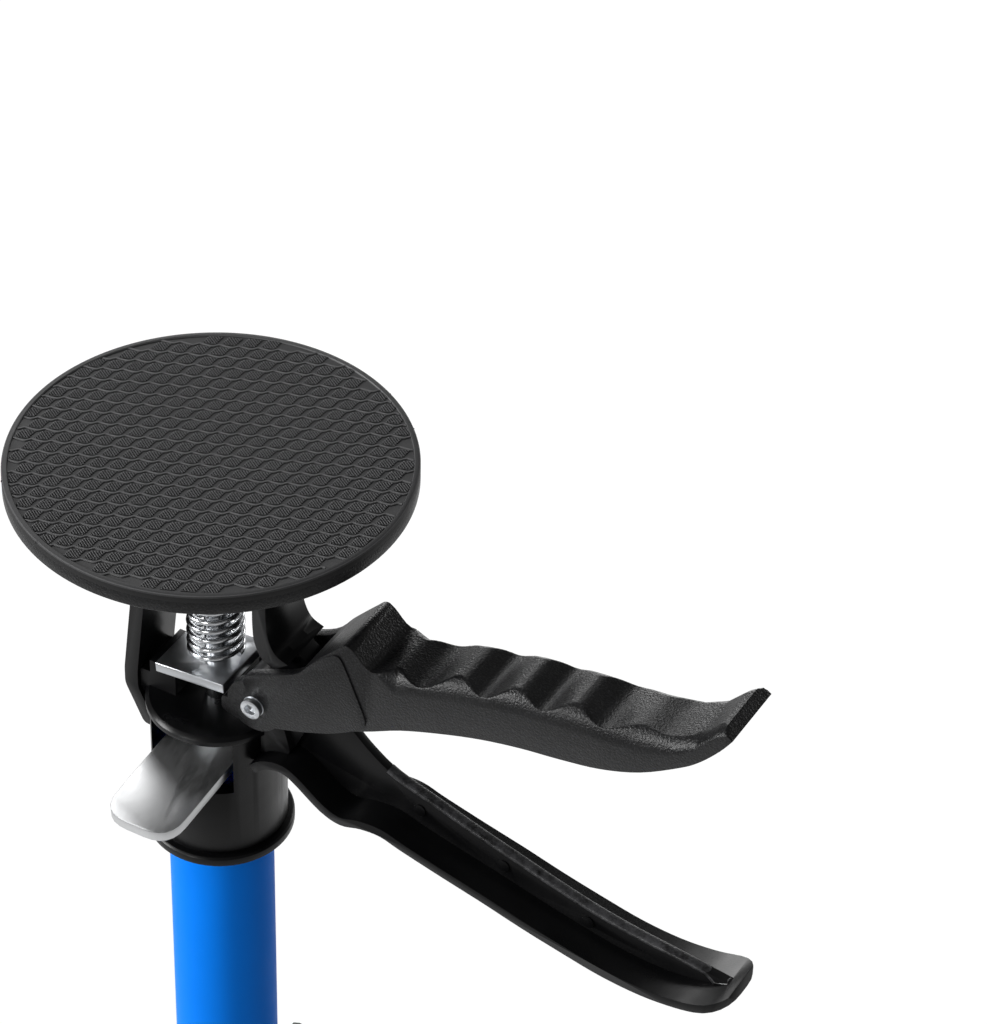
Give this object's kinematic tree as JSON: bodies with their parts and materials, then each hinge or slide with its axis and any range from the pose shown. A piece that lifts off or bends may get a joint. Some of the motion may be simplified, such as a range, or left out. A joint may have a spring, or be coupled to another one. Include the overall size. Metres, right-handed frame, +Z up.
{
  "type": "telescopic drywall support pole",
  "caption": "Telescopic support pole with swivelling round pads, a clamp collar with a star knob and a squeeze-handle jack head.",
  "frame": {"origin": "centre of the foot's face, on the floor", "axes": "+Z up the pole; +X towards the two handles; the pad swivels and the pole's long axis pass through the origin"},
  "size_m": [0.2395, 0.12, 1.52],
  "materials": {
    "black_nylon": "fine moulded texture",
    "black_rubber": "satin, patterned",
    "blue_paint": "gloss powder coat",
    "zinc_steel": "bright zinc plate",
    "brass": "turned"
  },
  "bodies": {
    "head": {"inner_tube": "blue_paint", "guide_bush": "black_nylon", "head_body": "black_nylon", "spring_washer": "zinc_steel", "pivot_bush": "zinc_steel", "pivot_screw": "zinc_steel", "pivot_nut": "zinc_steel", "main_spring": "zinc_steel", "brake_spring": "zinc_steel"},
    "barrel": {"outer_tube": "blue_paint", "foot_cap": "black_nylon", "lock_collar": "black_nylon", "clamp_bolt": "zinc_steel", "clamp_washer": "zinc_steel"},
    "foot": {"foot_pad": "black_nylon", "foot_tread": "black_rubber", "foot_pin": "zinc_steel"},
    "knob": {"star_knob": "black_nylon", "knob_insert": "brass"},
    "trigger": {"trigger": "black_nylon"},
    "drive": {"drive_plate": "zinc_steel"},
    "release": {"release_plate": "zinc_steel"},
    "rod": {"jack_rod": "zinc_steel", "rod_nut": "zinc_steel", "rod_eye": "black_nylon"},
    "top": {"top_pad": "black_nylon", "top_tread": "black_rubber", "top_pin": "zinc_steel"}
  },
  "joints": [
    {"name": "pole_slide", "type": "slide", "parent": "head", "child": "barrel", "axis": [0, 0, -1], "range_m": [-0.12, 0.88]},
    {"name": "knob_turn", "type": "hinge", "parent": "barrel", "child": "knob", "pos_m": [0.025, 0, 1.243], "axis": [0, 1, 0], "continuous": true},
    {"name": "foot_swivel", "type": "hinge", "parent": "barrel", "child": "foot", "pos_m": [0, 0, 0.015], "axis": [1, 0, 0], "range_deg": [-20, 20]},
    {"name": "trigger_squeeze", "type": "hinge", "parent": "head", "child": "trigger", "pos_m": [0.0205, 0, 1.4437], "axis": [0, 1, 0], "range_deg": [0, 22], "stiffness_Nm_per_rad": 1.5, "springref_deg": -17.19},
    {"name": "drive_lift", "type": "slide", "parent": "head", "child": "drive", "axis": [0, 0, 1], "range_m": [0, 0.0045], "deforming": ["main_spring"]},
    {"name": "release_press", "type": "hinge", "parent": "head", "child": "release", "pos_m": [0, 0.01152, 1.4135], "axis": [-1, 0, 0], "range_deg": [0, 5], "stiffness_Nm_per_rad": 0.3, "springref_deg": -17.19, "deforming": ["brake_spring"]},
    {"name": "rod_lift", "type": "slide", "parent": "head", "child": "rod", "axis": [0, 0, 1], "range_m": [0, 0.1]},
    {"name": "top_swivel", "type": "hinge", "parent": "rod", "child": "top", "pos_m": [0, 0, 1.50495], "axis": [1, 0, 0], "range_deg": [-20, 20]}
  ],
  "couplings": [
    {"joint": "drive_lift", "follows": "trigger_squeeze", "m_per_rad": 0.0112}
  ]
}
